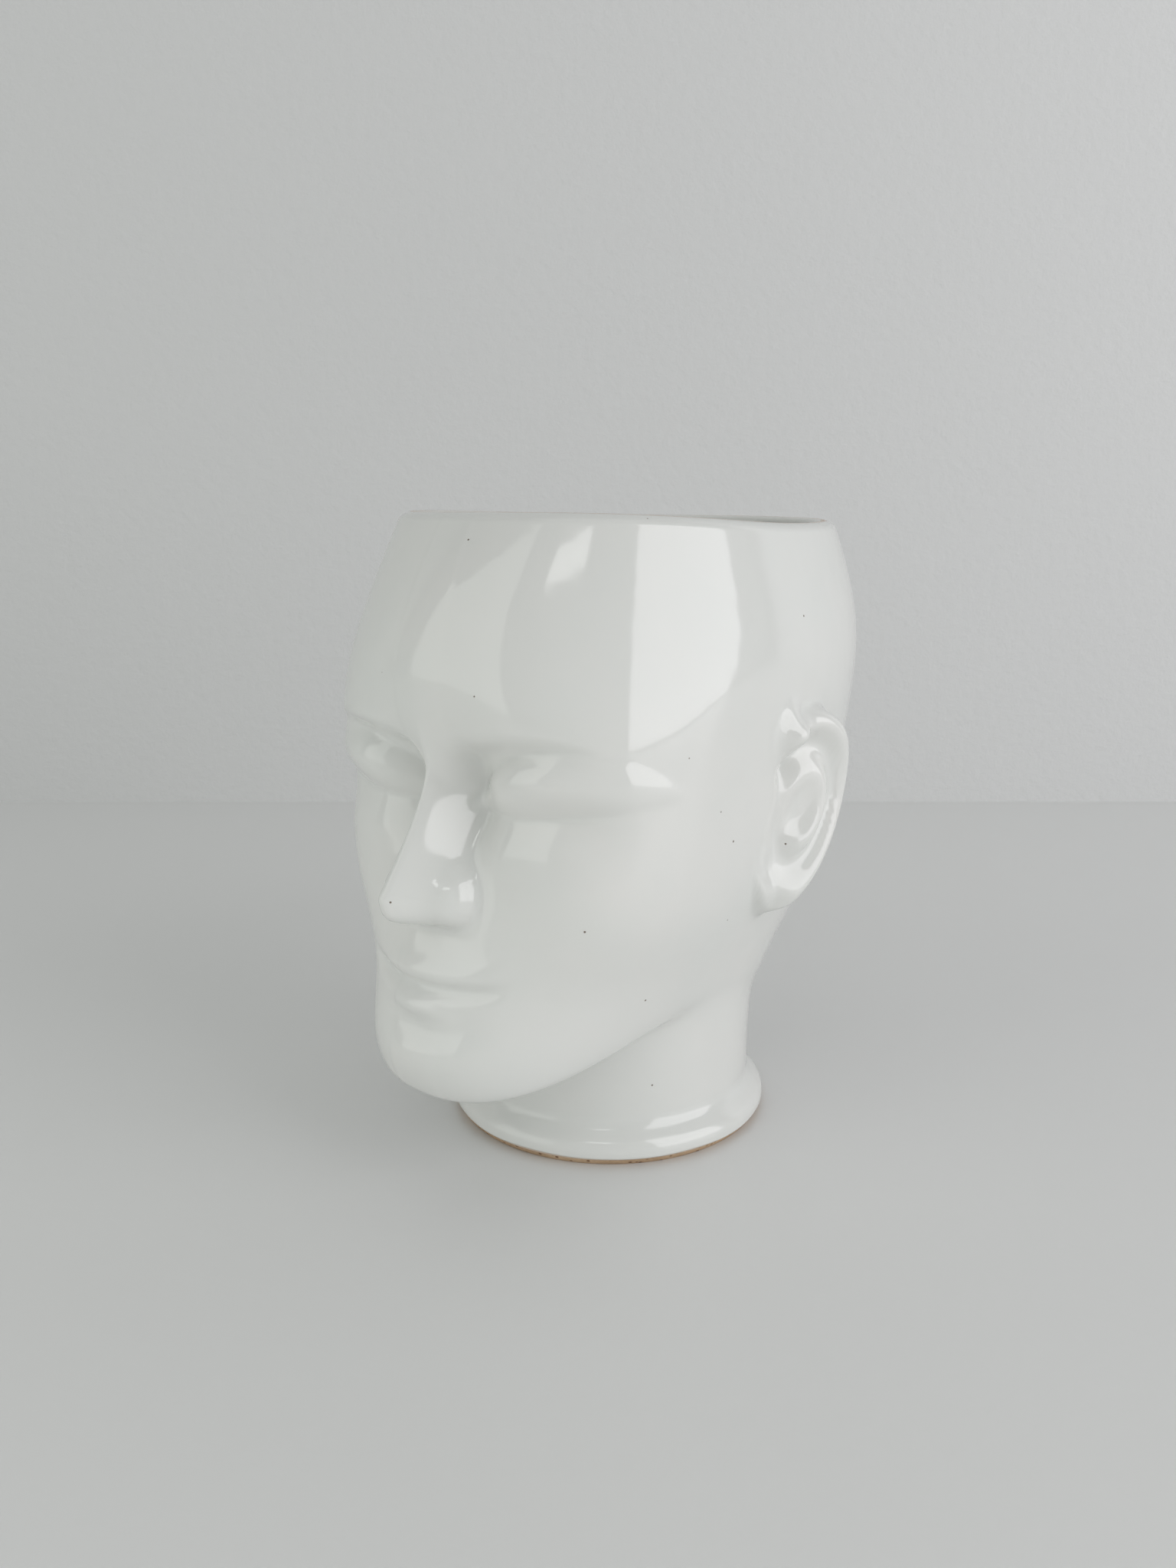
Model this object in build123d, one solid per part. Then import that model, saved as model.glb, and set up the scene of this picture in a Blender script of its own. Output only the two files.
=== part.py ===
"""Head-shaped flower vase: a slip-cast clay body under a white glaze, open at the top of the skull.

Frame: origin at the centre of the foot's resting face, +Z up, the face looks along -Y and +X is
the head's own left. Sizes are millimetres and degrees. The head is one smooth form made of named
features; closed rings are found on it along rays from the vase's axis, and the skins of the clay
and of the glaze are lofts through those rings.
"""

from build123d import *
import os

import numpy as np

# Foot and neck
FOOT_RADIUS = 53.3
FOOT_EDGE = 3.0
FOOT_ROLL_HEIGHT = 4.0
FOOT_FLARE_HEIGHT = 14.0
NECK_RADIUS = 47.6
NECK_BLEND = 6.0

# Heights of the head, each stacked on the one below
CHIN_HEIGHT = 33.0
CHIN_TO_BOSS = 12.5
BOSS_TO_MOUTH = 20.3
MOUTH_TO_NOSE = 20.4
NOSE_TO_EYE = 33.5
EYE_TO_BROW = 21.0
BROW_TO_CROWN = 20.0
CROWN_TO_RIM = 39.8

BOSS_HEIGHT = CHIN_HEIGHT + CHIN_TO_BOSS
MOUTH_HEIGHT = BOSS_HEIGHT + BOSS_TO_MOUTH
NOSE_HEIGHT = MOUTH_HEIGHT + MOUTH_TO_NOSE
EYE_HEIGHT = NOSE_HEIGHT + NOSE_TO_EYE
BROW_HEIGHT = EYE_HEIGHT + EYE_TO_BROW
CROWN_HEIGHT = BROW_HEIGHT + BROW_TO_CROWN
RIM_HEIGHT = CROWN_HEIGHT + CROWN_TO_RIM

# Level sections of the plain skull: half width, reach to the front, reach to the back, and the
# superellipse power of the front half
JAW_SECTION = (44.0, 86.0, 47.0, 2.6)
BOSS_SECTION = (47.5, 89.0, 50.0, 2.7)
MOUTH_SECTION = (54.5, 82.0, 61.0, 2.8)
NOSE_SECTION = (62.0, 79.0, 74.0, 3.4)
EYE_SECTION = (66.5, 78.8, 86.0, 3.4)
BROW_SECTION = (68.5, 84.5, 90.0, 2.8)
CROWN_SECTION = (69.0, 85.0, 92.0, 2.3)
RIM_SECTION = (59.0, 66.0, 82.0, 2.25)
BACK_POWER = 2.35

# Jaw line: rises behind the chin up to the jaw's angle
JAW_SLOPE = 17.0
JAW_EDGE = 6.0
JAW_RUN = 74.0
JAW_ANGLE_ROUNDING = 12.0

# Eyes: smooth closed lids in shallow sockets, measured along the arc of the face
EYE_ARC_RADIUS = 75.0
EYE_OFFSET = 40.5
EYE_LENGTH = 59.2
EYE_SLANT = 7.0
LID_RISE = 16.3
LID_DROP = 1.3
LID_SKEW = 0.35
LID_FULLNESS = 0.6
LID_OUTER_EASE = 0.6
LID_BULGE = 6.0
LID_EDGE = 0.8
SOCKET_DEPTH = 6.5
SOCKET_INNER = (2.0, 14.0)
SOCKET_OUTER = (30.0, 64.0)
SOCKET_BELOW_BROW = (-2.0, 8.5)
SOCKET_TO_CHEEK = (14.0, 38.0)
BROW_ARCH = 21.5
BROW_OFFSET = 30.0
BROW_HALF_SPAN = 50.0

# Nose: a wedge with a hollow ridge, a flat base and two wings
NOSE_REACH = 98.5
NASION_REACH = 79.5
NASION_RISE = 48.3
NOSE_TIP_RISE = 6.8
RIDGE_POWER = 1.8
RIDGE_ROUNDING = 1.6
TIP_ROUNDING = 2.4
NOSE_SPREAD = (1.65, 0.85)
NOSE_BASE_SLOPE = 0.12
NOSE_BASE_EDGE = 2.4
NOSE_BLEND = 2.6
NOSE_TOP_FADE = 8.0
NOSE_ROOT_SETBACK = 60.0
WING_CENTRE = (10.0, 81.0, 6.0)
WING_SIZE = (5.5, 12.0, 8.0)
WING_BLEND = 4.5

# Mouth line, with its corners raised by the smile
MOUTH_HALF_WIDTH = 27.0
MOUTH_SMILE = 2.2
SMILE_POWER = 4.0
MOUTH_DEPTH = 2.4
MOUTH_THICKNESS = 1.7
MOUTH_FADE = (0.6, 1.15)
# Mounds and hollows of the lower face: rise, half width, half height, height above the mouth line
UPPER_LIP = (1.6, 18.0, 4.0, 4.5)
LOWER_LIP = (3.2, 11.5, 3.8, -4.8)
LIP_HOLLOW = (-2.4, 17.0, 5.0, -12.0)
MUZZLE = (6.0, 25.0, 17.0, 4.0)
PHILTRUM = (-0.9, 3.0, 6.0, 12.0)
CHIN_BOSS = (3.0, 20.0, 12.0, -BOSS_TO_MOUTH)
FACE_FADE = (20.0, 50.0)

# Ears: a leaning plate with relief, measured back and up from the ear's centre
EAR_SETBACK = 6.0
EAR_BELOW_EYE = 9.2
EAR_HEIGHT = EYE_HEIGHT - EAR_BELOW_EYE
EAR_LENGTH = 64.0
EAR_WIDTH = 35.0
EAR_TILT = 14.0
EAR_TAPER = 0.25
EAR_STAND_OFF = 7.4
LOBE_STAND_OFF = 2.8
EAR_EDGE = (0.93, 1.09)
# Shares of the ear's half width or half length over which it leans out, hangs and folds
EAR_LEAN = (-0.75, 0.8)
LOBE_HANG = (-0.95, -0.4)
FOLD_SWEEP = (-0.7, 0.0)
# Rolled rim, groove inside it and inner fold: rise, distance in from the rim, half width
HELIX = (2.7, 2.8, 2.7)
SCAPHA = (-1.8, 7.2, 2.4)
INNER_FOLD = (1.9, 11.6, 2.7)
# Bowl, rim's root, pit below the root and lobe: rise, half width, half height, back, up
EAR_BOWL = (-1.9, 5.0, 10.0, -4.0, -5.0)
HELIX_ROOT = (4.8, 4.6, 6.5, -13.0, 23.0)
EAR_PIT = (-2.8, 3.2, 4.5, -9.5, 13.0)
EAR_LOBE = (1.8, 6.0, 6.0, -2.0, -25.0)

# Wall, glaze, lip and inside corner
WALL = 6.5
GLAZE = 0.5
GLAZE_STOP = 1.8
LIP_ROUNDING = 3.0
RIM_DROP = 3.4
RIM_HIGH_TURN = -50.0
# Waves of the hand-cut rim: waves in one turn, phase, rise
RIM_WAVES = ((2.0, 1.0, 0.45), (3.0, -0.7, 0.32))
FLOOR = 8.0
FLOOR_CORNER = 7.0
FLOOR_CORNER_HEIGHT = 16.0

# Rays and rings
CHIN_DIP = 22.0
DIP_FOCUS = 1.5
DIP_BELOW_CHIN = (FLOOR + 2.0 * GLAZE, (BOSS_HEIGHT + MOUTH_HEIGHT) / 2.0)
DIP_TO_CROWN = (MOUTH_HEIGHT, CROWN_HEIGHT)
RAY_START = 15.0
RAY_STEP = 4.0
RAY_STEPS = 28
HALVINGS = 20
COLUMNS = 128
# Each loft's rings, the lip's included, number 3 more than a prime, so it stays a plain cubic
OUTSIDE_RINGS = 77
INSIDE_RINGS = 45
LIP_RINGS = 5
FOOT_RINGS = 3
SAMPLES_PER_RING = 12
TURN_WEIGHT = 5.0
LEVEL_EASE = 6.0
LIP_CROWDING = 2.0
PROFILE_TURNS = (0.0, 8.0, 16.0, 36.0, 100.0)
# Extra columns over the face and the ears: share, half angle in radians
FACE_COLUMNS = (1.6, 0.75)
EAR_COLUMNS = (1.2, 0.3)


def smooth_step(low, high, value):
    """0 at low, 1 at high, with an even S between."""
    t = np.clip((value - low) / (high - low), 0.0, 1.0)
    return t * t * t * (t * (6.0 * t - 15.0) + 10.0)


def smooth_max(a, b, blend):
    """The larger of two forms, rounded over about the blend where they meet."""
    return (a + b + np.sqrt((a - b) ** 2 + blend**2)) / 2.0


def smooth_min(a, b, blend):
    """The smaller of two forms, rounded over about the blend where they meet."""
    return -smooth_max(-a, -b, blend)


def bell(value, width):
    """1 at zero, falling away on both sides over the width."""
    return np.exp(-((value / width) ** 2))


def curve_through(stations, values, at):
    """Natural cubic spline through a few stations."""
    x = np.asarray(stations)
    y = np.asarray(values)
    h = np.diff(x)
    slopes = np.diff(y) / h
    inner = np.diag(2.0 * (h[:-1] + h[1:])) + np.diag(h[1:-1], 1) + np.diag(h[1:-1], -1)
    bend = np.concatenate([[0.0], np.linalg.solve(inner, 6.0 * np.diff(slopes)), [0.0]])
    i = np.clip(np.searchsorted(x, at) - 1, 0, len(h) - 1)
    left = (x[i + 1] - at) / h[i]
    right = 1.0 - left
    sag = (left**3 - left) * bend[i] + (right**3 - right) * bend[i + 1]
    return left * y[i] + right * y[i + 1] + sag * h[i] ** 2 / 6.0


STATIONS = (
    CHIN_HEIGHT - CHIN_TO_BOSS,
    BOSS_HEIGHT,
    MOUTH_HEIGHT,
    NOSE_HEIGHT,
    EYE_HEIGHT,
    BROW_HEIGHT,
    CROWN_HEIGHT,
    RIM_HEIGHT,
)
SECTIONS = (
    JAW_SECTION,
    BOSS_SECTION,
    MOUTH_SECTION,
    NOSE_SECTION,
    EYE_SECTION,
    BROW_SECTION,
    CROWN_SECTION,
    RIM_SECTION,
)


def skull_form(x, y, z):
    """Distance outside the plain skull, level by level, before the face is modelled."""
    half_width, front, back, front_power = (
        curve_through(STATIONS, column, z) for column in zip(*SECTIONS)
    )
    power = np.where(y < 0.0, front_power, BACK_POWER)
    reach = np.where(y < 0.0, front, back)
    away = np.hypot(x, y)
    across = np.abs(x) / away / half_width
    along = np.abs(y) / away / reach
    return away - (across**power + along**power) ** (-1.0 / power)


def neck_form(x, y, z):
    """Distance outside the round neck with its flared foot and rounded foot edge."""
    flare = 1.0 - smooth_step(FOOT_ROLL_HEIGHT, FOOT_FLARE_HEIGHT, z)
    tuck = FOOT_EDGE / 2.0 * np.clip(1.0 - z / FOOT_EDGE, 0.0, 1.0) ** 2
    return np.hypot(x, y) - NECK_RADIUS - (FOOT_RADIUS - NECK_RADIUS) * flare + tuck


def jaw_underside(y, z):
    """Distance below the jaw line, which rises from the chin and falls again behind its angle."""
    slope = np.radians(JAW_SLOPE)
    line = CHIN_HEIGHT + np.tan(slope) * (JAW_RUN - np.hypot(y, JAW_ANGLE_ROUNDING))
    return (line - z) * np.cos(slope)


def socket_relief(arc, z):
    """Hollow under the brow's arch, deepest beside the nose and fading into the cheek."""
    arch = BROW_ARCH * (1.0 - ((arc - BROW_OFFSET) / BROW_HALF_SPAN) ** 2)
    below = EYE_HEIGHT + arch - z
    deep = smooth_step(*SOCKET_BELOW_BROW, below) * (1.0 - smooth_step(*SOCKET_TO_CHEEK, below))
    across = smooth_step(*SOCKET_INNER, arc) * (1.0 - smooth_step(*SOCKET_OUTER, arc))
    return -SOCKET_DEPTH * deep * across


def lid_relief(arc, z):
    """Closed lid: an almond lens between an upper and a lower arc."""
    along = arc - EYE_OFFSET
    t = along / (EYE_LENGTH / 2.0)
    up = z - EYE_HEIGHT - along * np.tan(np.radians(EYE_SLANT))
    opening = np.clip(1.0 - t**2, 0.0, 1.0) ** LID_FULLNESS
    top = LID_RISE * opening * (1.0 - LID_SKEW * t)
    bottom = -LID_DROP * opening * (1.0 + LID_SKEW * t)
    half = (top - bottom) / 2.0 + LID_EDGE
    q = np.clip((up - (top + bottom) / 2.0) / half, -2.0, 2.0)
    bulge = LID_BULGE * (1.0 - LID_OUTER_EASE * smooth_step(0.0, 1.0, t))
    lens = bulge * opening * (1.0 - q**2) - LID_EDGE / 2.0
    return smooth_max(lens, 0.0, LID_EDGE)


def nose_form(x, y, z):
    """Distance outside the nose."""
    tip_z = NOSE_HEIGHT + NOSE_TIP_RISE
    nasion_z = NOSE_HEIGHT + NASION_RISE
    t = np.clip((nasion_z - z) / (nasion_z - tip_z), 0.0, 1.0)
    ridge = NASION_REACH + (NOSE_REACH - NASION_REACH) * t**RIDGE_POWER
    rounding = RIDGE_ROUNDING + TIP_ROUNDING * t**2
    half = np.hypot(x, rounding) - rounding
    spread = NOSE_SPREAD[0] + (NOSE_SPREAD[1] - NOSE_SPREAD[0]) * t
    wedge = (half - (y + ridge) * spread) / np.hypot(1.0, spread)
    offset, setback, rise = WING_CENTRE
    from_wing = np.stack([np.abs(x) - offset, y + setback, z - NOSE_HEIGHT - rise])
    size = np.reshape(WING_SIZE, (3,) + (1,) * np.ndim(z))
    near = np.linalg.norm(from_wing / size, axis=0)
    steep = np.linalg.norm(from_wing / size**2, axis=0)
    wing = near * (near - 1.0) / steep
    base = NOSE_HEIGHT - NOSE_BASE_SLOPE * (y + setback) - z
    nose = smooth_max(smooth_min(wedge, wing, WING_BLEND), base, NOSE_BASE_EDGE)
    nose = smooth_max(nose, z - nasion_z - NOSE_TOP_FADE / 2.0, NOSE_TOP_FADE)
    return smooth_max(nose, y + NOSE_ROOT_SETBACK, NOSE_BLEND)


def mouth_relief(x, z):
    """Muzzle, lips, mouth line, chin boss and the hollow between lip and chin."""
    t = np.clip(np.abs(x) / MOUTH_HALF_WIDTH, 0.0, MOUTH_FADE[1])
    above = z - MOUTH_HEIGHT - MOUTH_SMILE * t**SMILE_POWER
    relief = -MOUTH_DEPTH * bell(above, MOUTH_THICKNESS) * (1.0 - smooth_step(*MOUTH_FADE, t))
    for rise, half_width, half_height, up in (UPPER_LIP, LOWER_LIP, LIP_HOLLOW):
        relief = relief + rise * bell(x, half_width) * bell(above - up, half_height)
    for rise, half_width, half_height, up in (MUZZLE, PHILTRUM, CHIN_BOSS):
        relief = relief + rise * bell(x, half_width) * bell(z - MOUTH_HEIGHT - up, half_height)
    return relief


def ear_relief(x, y, z):
    """Ear as a leaning plate with a rolled rim, an inner fold, a bowl, a root and a lobe."""
    tilt = np.radians(EAR_TILT)
    back = (y - EAR_SETBACK) * np.cos(tilt) - (z - EAR_HEIGHT) * np.sin(tilt)
    up = (z - EAR_HEIGHT) * np.cos(tilt) + (y - EAR_SETBACK) * np.sin(tilt)
    half_height = EAR_LENGTH / 2.0
    half_width = EAR_WIDTH / 2.0 * (1.0 + EAR_TAPER * np.clip(up / half_height, -1.0, 1.0))
    ring_share = np.hypot(back / half_width, up / half_height)
    within = 1.0 - smooth_step(*EAR_EDGE, ring_share)
    lean = EAR_STAND_OFF * smooth_step(*EAR_LEAN, back / half_width)
    hang = LOBE_STAND_OFF * (1.0 - smooth_step(*LOBE_HANG, up / half_height))
    swept = smooth_step(*FOLD_SWEEP, back / half_width + up / EAR_LENGTH)
    inward = (1.0 - ring_share) * half_width
    folds = sum(rise * bell(inward - depth, width) for rise, depth, width in (HELIX, SCAPHA, INNER_FOLD))
    mounds = 0.0
    for rise, wide, tall, at_back, at_up in (EAR_BOWL, HELIX_ROOT, EAR_PIT, EAR_LOBE):
        mounds = mounds + rise * bell(back - at_back, wide) * bell(up - at_up, tall)
    relief = within * (np.maximum(lean, hang) + folds * swept) + mounds
    return relief * smooth_step(*FACE_FADE, np.abs(x))


def outside_form(x, y, z):
    """Signed form of the glazed outside: negative inside the vase."""
    arc = EYE_ARC_RADIUS * np.abs(np.arctan2(x, -y))
    face = (socket_relief(arc, z) + lid_relief(arc, z) + mouth_relief(x, z)) * smooth_step(*FACE_FADE, -y)
    relief = face + ear_relief(x, y, z)
    skull = smooth_max(skull_form(x, y, z) - relief, jaw_underside(y, z), JAW_EDGE)
    head = smooth_min(skull, nose_form(x, y, z), NOSE_BLEND)
    return smooth_min(head, neck_form(x, y, z), NECK_BLEND)


def inside_form(x, y, z, coat=0.0):
    """Signed form of the cavity: plain skull with its sockets and plain neck, drawn in by the wall."""
    arc = EYE_ARC_RADIUS * np.abs(np.arctan2(x, -y))
    skull = skull_form(x, y, z) - socket_relief(arc, z) * smooth_step(*FACE_FADE, -y)
    skull = smooth_max(skull, jaw_underside(y, z), JAW_EDGE)
    sunk = np.clip(1.0 - (z - FLOOR - coat) / FLOOR_CORNER_HEIGHT, 0.0, 1.0)
    neck = np.hypot(x, y) - NECK_RADIUS + FLOOR_CORNER * sunk**3
    return smooth_min(skull, neck, NECK_BLEND) + WALL + coat


def rim_wave(turn):
    """Uneven hand-cut rim: tilted a little and slightly wavy."""
    drop = RIM_DROP * (np.cos(turn - np.radians(RIM_HIGH_TURN)) - 1.0) / 2.0
    return drop + sum(rise * np.sin(waves * turn + phase) for waves, phase, rise in RIM_WAVES)


def ring_points(form, levels, turns):
    """Where rays from the axis leave a form; rays over the chin dip, so they meet its underside too."""
    level, turn = np.meshgrid(levels, turns, indexing="ij")
    raised = smooth_step(*DIP_BELOW_CHIN, level) * (1.0 - smooth_step(*DIP_TO_CROWN, level))
    dip = np.radians(CHIN_DIP) * raised * ((1.0 + np.cos(turn)) / 2.0) ** DIP_FOCUS
    start = level + rim_wave(turn) * smooth_step(CROWN_HEIGHT, RIM_HEIGHT, level)

    def at(reach):
        flat = reach * np.cos(dip)
        return flat * np.sin(turn), -flat * np.cos(turn), start - reach * np.sin(dip)

    low = np.full(level.shape, RAY_START)
    out = np.zeros(level.shape, bool)
    for _ in range(RAY_STEPS):
        out |= form(*at(low + RAY_STEP)) > 0.0
        low = np.where(out, low, low + RAY_STEP)
    high = low + RAY_STEP
    for _ in range(HALVINGS):
        middle = (low + high) / 2.0
        within = form(*at(middle)) < 0.0
        low = np.where(within, middle, low)
        high = np.where(within, high, middle)
    return np.stack(at((low + high) / 2.0), axis=-1)


def under_coat(points, form):
    """Points on a form's surface moved in by the glaze's thickness, square to the surface."""
    probes = np.eye(3) * GLAZE
    outer = [form(*np.moveaxis(points + probe, -1, 0)) for probe in probes]
    inner = [form(*np.moveaxis(points - probe, -1, 0)) for probe in probes]
    slope = np.stack(outer, axis=-1) - np.stack(inner, axis=-1)
    return points - GLAZE * slope / np.linalg.norm(slope, axis=-1, keepdims=True)


def ring_levels(form, low, high, count):
    """Levels spaced evenly along the head's profiles, closer together where a profile turns."""
    fine = np.linspace(low, high, SAMPLES_PER_RING * count)
    profiles = ring_points(form, fine, np.radians(PROFILE_TURNS))
    step = np.diff(profiles, axis=0)
    length = np.linalg.norm(step, axis=-1)
    heading = step / length[..., None]
    turn = np.arccos(np.clip(np.sum(heading[1:] * heading[:-1], axis=-1), -1.0, 1.0))
    length[1:] += TURN_WEIGHT * turn
    middles = (fine[1:] + fine[:-1]) / 2.0
    share = bell(middles[:, None] - middles, LEVEL_EASE)
    density = share @ length.max(axis=1) / share.sum(axis=1)
    density = density * (1.0 + LIP_CROWDING * bell(high - middles, LEVEL_EASE))
    travelled = np.concatenate([[0.0], np.cumsum(density)])
    return np.interp(np.linspace(0.0, travelled[-1], count), travelled, fine)


def ring_turns(count):
    """Angles round the axis, closer together over the face and the ears than behind."""
    fine = np.linspace(-np.pi, np.pi, SAMPLES_PER_RING * count)
    ear = np.pi / 2.0 + EAR_SETBACK / EYE_SECTION[0]
    face_share, face_angle = FACE_COLUMNS
    ear_share, ear_angle = EAR_COLUMNS
    density = 1.0 + face_share * bell(fine, face_angle) + ear_share * bell(np.abs(fine) - ear, ear_angle)
    travelled = np.cumsum(density)
    even = np.linspace(travelled[0], travelled[-1], count + 1)
    return np.interp(even, travelled, fine)[:-1]


def lip_rows(outer, inner, rounding):
    """Half ellipse over the lip, from the outer wall's last ring to the inner wall's."""
    middle = (outer[-1] + inner[-1]) / 2.0
    half = (outer[-1] - inner[-1]) / 2.0
    lean = outer[-1] - outer[-2]
    lean = lean / np.linalg.norm(lean, axis=-1, keepdims=True)
    swing = np.linspace(0.0, np.pi, 2 * LIP_RINGS + 1)
    return [middle + np.cos(a) * half + np.sin(a) * rounding * lean for a in swing]


def ring(points):
    """Closed smooth curve through one ring of points."""
    share = [i / len(points) for i in range(len(points) + 1)]
    return Wire([Edge.make_spline([Vector(*p) for p in points], periodic=True, parameters=share)])


def skin(rows, ruled=False):
    """Side face lofted through rings of points, without end caps."""
    loft_solid = Solid.make_loft([ring(row) for row in rows], ruled=ruled)
    return loft_solid.faces().filter_by(GeomType.PLANE, reverse=True).sort_by(SortBy.AREA)[-1]


def clay_outside(x, y, z):
    """The clay's outside lies a coat of glaze below the glazed outside."""
    return outside_form(x, y, z) + GLAZE


def glazed_inside(x, y, z):
    """The glazed cavity lies a coat of glaze inside the clay's cavity."""
    return inside_form(x, y, z, GLAZE)


def closed(*faces):
    """Solid bounded by faces that meet along their rings."""
    return Solid(Shell(faces))


turns = ring_turns(COLUMNS)
wall_top = RIM_HEIGHT - LIP_ROUNDING
outer_levels = ring_levels(outside_form, GLAZE_STOP, wall_top, OUTSIDE_RINGS)
clay_levels = ring_levels(inside_form, FLOOR, wall_top, INSIDE_RINGS)
coat_levels = np.interp(clay_levels, [FLOOR, wall_top], [FLOOR + GLAZE, wall_top])

# Rings of points, from the foot up to the lip on the outside and from the floor up inside
foot_rows = ring_points(clay_outside, np.linspace(0.0, GLAZE_STOP, FOOT_RINGS), turns)
coat_out = ring_points(outside_form, outer_levels, turns)
clay_out = under_coat(coat_out, outside_form)
clay_out[0] = foot_rows[-1]
clay_in = ring_points(inside_form, clay_levels, turns)
coat_in = ring_points(glazed_inside, coat_levels, turns)
clay_lip = lip_rows(clay_out, clay_in, LIP_ROUNDING - GLAZE)
coat_lip = lip_rows(coat_out, coat_in, LIP_ROUNDING)

# Side faces: each runs from its end ring to the crown of the lip
clay_outer_skin = skin([*clay_out, *clay_lip[1 : LIP_RINGS + 1]])
coat_outer_skin = skin([*coat_out, *coat_lip[1 : LIP_RINGS + 1]])
clay_inner_skin = skin([*clay_in, *clay_lip[-2 : LIP_RINGS - 1 : -1]])
coat_inner_skin = skin([*coat_in, *coat_lip[-2 : LIP_RINGS - 1 : -1]])
bare_foot_skin = skin(foot_rows)
crown_skin = skin([clay_lip[LIP_RINGS], coat_lip[LIP_RINGS]], ruled=True)

clay_floor = Face(ring(clay_in[0]))
coat_floor = Face(ring(coat_in[0]))
foot_face = Face(ring(foot_rows[0]))
glaze_stop_edge = Face(ring(coat_out[0]), [ring(clay_out[0])])

nodes = {
    "clay_body": closed(clay_outer_skin, clay_inner_skin, bare_foot_skin, clay_floor, foot_face),
    "outer_glaze": closed(coat_outer_skin, clay_outer_skin, crown_skin, glaze_stop_edge),
    "inner_glaze": closed(coat_inner_skin, clay_inner_skin, crown_skin, clay_floor, coat_floor),
}

os.makedirs("parts", exist_ok=True)
for name, solid in nodes.items():
    export_step(solid, f"parts/{name}.step")
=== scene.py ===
"""Looks of the head-shaped vase: fine glaze skins on the clay, their finishes, light and camera."""

import math

import bpy
import numpy as np
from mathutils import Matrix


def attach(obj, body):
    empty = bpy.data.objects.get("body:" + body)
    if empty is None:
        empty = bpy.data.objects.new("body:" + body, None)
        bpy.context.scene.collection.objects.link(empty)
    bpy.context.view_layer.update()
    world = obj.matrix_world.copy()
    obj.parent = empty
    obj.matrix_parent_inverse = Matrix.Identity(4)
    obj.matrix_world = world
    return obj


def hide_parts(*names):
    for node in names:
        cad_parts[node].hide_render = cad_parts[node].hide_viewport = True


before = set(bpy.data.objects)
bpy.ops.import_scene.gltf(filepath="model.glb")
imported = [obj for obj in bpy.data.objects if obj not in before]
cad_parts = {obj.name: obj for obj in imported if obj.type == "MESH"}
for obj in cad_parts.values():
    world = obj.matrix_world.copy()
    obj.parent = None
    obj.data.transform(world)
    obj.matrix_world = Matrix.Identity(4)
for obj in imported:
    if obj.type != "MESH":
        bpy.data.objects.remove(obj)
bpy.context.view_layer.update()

# The vase's sizes are in millimetres and degrees, as in the solids; Blender's own are in metres
MM_PER_M = 1000.0

# Foot and neck
FOOT_RADIUS = 53.3
FOOT_EDGE = 3.0
FOOT_ROLL_HEIGHT = 4.0
FOOT_FLARE_HEIGHT = 14.0
NECK_RADIUS = 47.6
NECK_BLEND = 6.0

# Heights of the head, each stacked on the one below
CHIN_HEIGHT = 33.0
CHIN_TO_BOSS = 12.5
BOSS_TO_MOUTH = 20.3
MOUTH_TO_NOSE = 20.4
NOSE_TO_EYE = 33.5
EYE_TO_BROW = 21.0
BROW_TO_CROWN = 20.0
CROWN_TO_RIM = 39.8

BOSS_HEIGHT = CHIN_HEIGHT + CHIN_TO_BOSS
MOUTH_HEIGHT = BOSS_HEIGHT + BOSS_TO_MOUTH
NOSE_HEIGHT = MOUTH_HEIGHT + MOUTH_TO_NOSE
EYE_HEIGHT = NOSE_HEIGHT + NOSE_TO_EYE
BROW_HEIGHT = EYE_HEIGHT + EYE_TO_BROW
CROWN_HEIGHT = BROW_HEIGHT + BROW_TO_CROWN
RIM_HEIGHT = CROWN_HEIGHT + CROWN_TO_RIM

# Level sections of the plain skull: half width, reach to the front, reach to the back, and the
# superellipse power of the front half
JAW_SECTION = (44.0, 86.0, 47.0, 2.6)
BOSS_SECTION = (47.5, 89.0, 50.0, 2.7)
MOUTH_SECTION = (54.5, 82.0, 61.0, 2.8)
NOSE_SECTION = (62.0, 79.0, 74.0, 3.4)
EYE_SECTION = (66.5, 78.8, 86.0, 3.4)
BROW_SECTION = (68.5, 84.5, 90.0, 2.8)
CROWN_SECTION = (69.0, 85.0, 92.0, 2.3)
RIM_SECTION = (59.0, 66.0, 82.0, 2.25)
BACK_POWER = 2.35

# Jaw line: rises behind the chin up to the jaw's angle
JAW_SLOPE = 17.0
JAW_EDGE = 6.0
JAW_RUN = 74.0
JAW_ANGLE_ROUNDING = 12.0

# Eyes: smooth closed lids in shallow sockets, measured along the arc of the face
EYE_ARC_RADIUS = 75.0
EYE_OFFSET = 39.3
EYE_LENGTH = 64.0
EYE_SLANT = 7.0
LID_RISE = 17.2
LID_DROP = 1.3
LID_SKEW = 0.2
LID_FULLNESS = 0.78
LID_BULGE = 8.2
LID_EDGE = 0.5
# Share of the bulge that is lost outwards, and the shares of the lid's half length it is lost over
LID_OUTER_EASE = 0.72
LID_EASE_SPAN = (-0.5, 0.8)
# Sockets
SOCKET_DEPTH = 6.5
SOCKET_INNER = (2.0, 14.0)
SOCKET_OUTER = (30.0, 64.0)
SOCKET_BELOW_BROW = (-2.0, 8.5)
SOCKET_TO_CHEEK = (14.0, 38.0)
BROW_ARCH = 21.5
BROW_OFFSET = 30.0
BROW_HALF_SPAN = 50.0
# Hollow at the eye's inner corner: depth, half width, half height, arc
INNER_CORNER = (7.0, 9.0, 17.0, 10.5)

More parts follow.
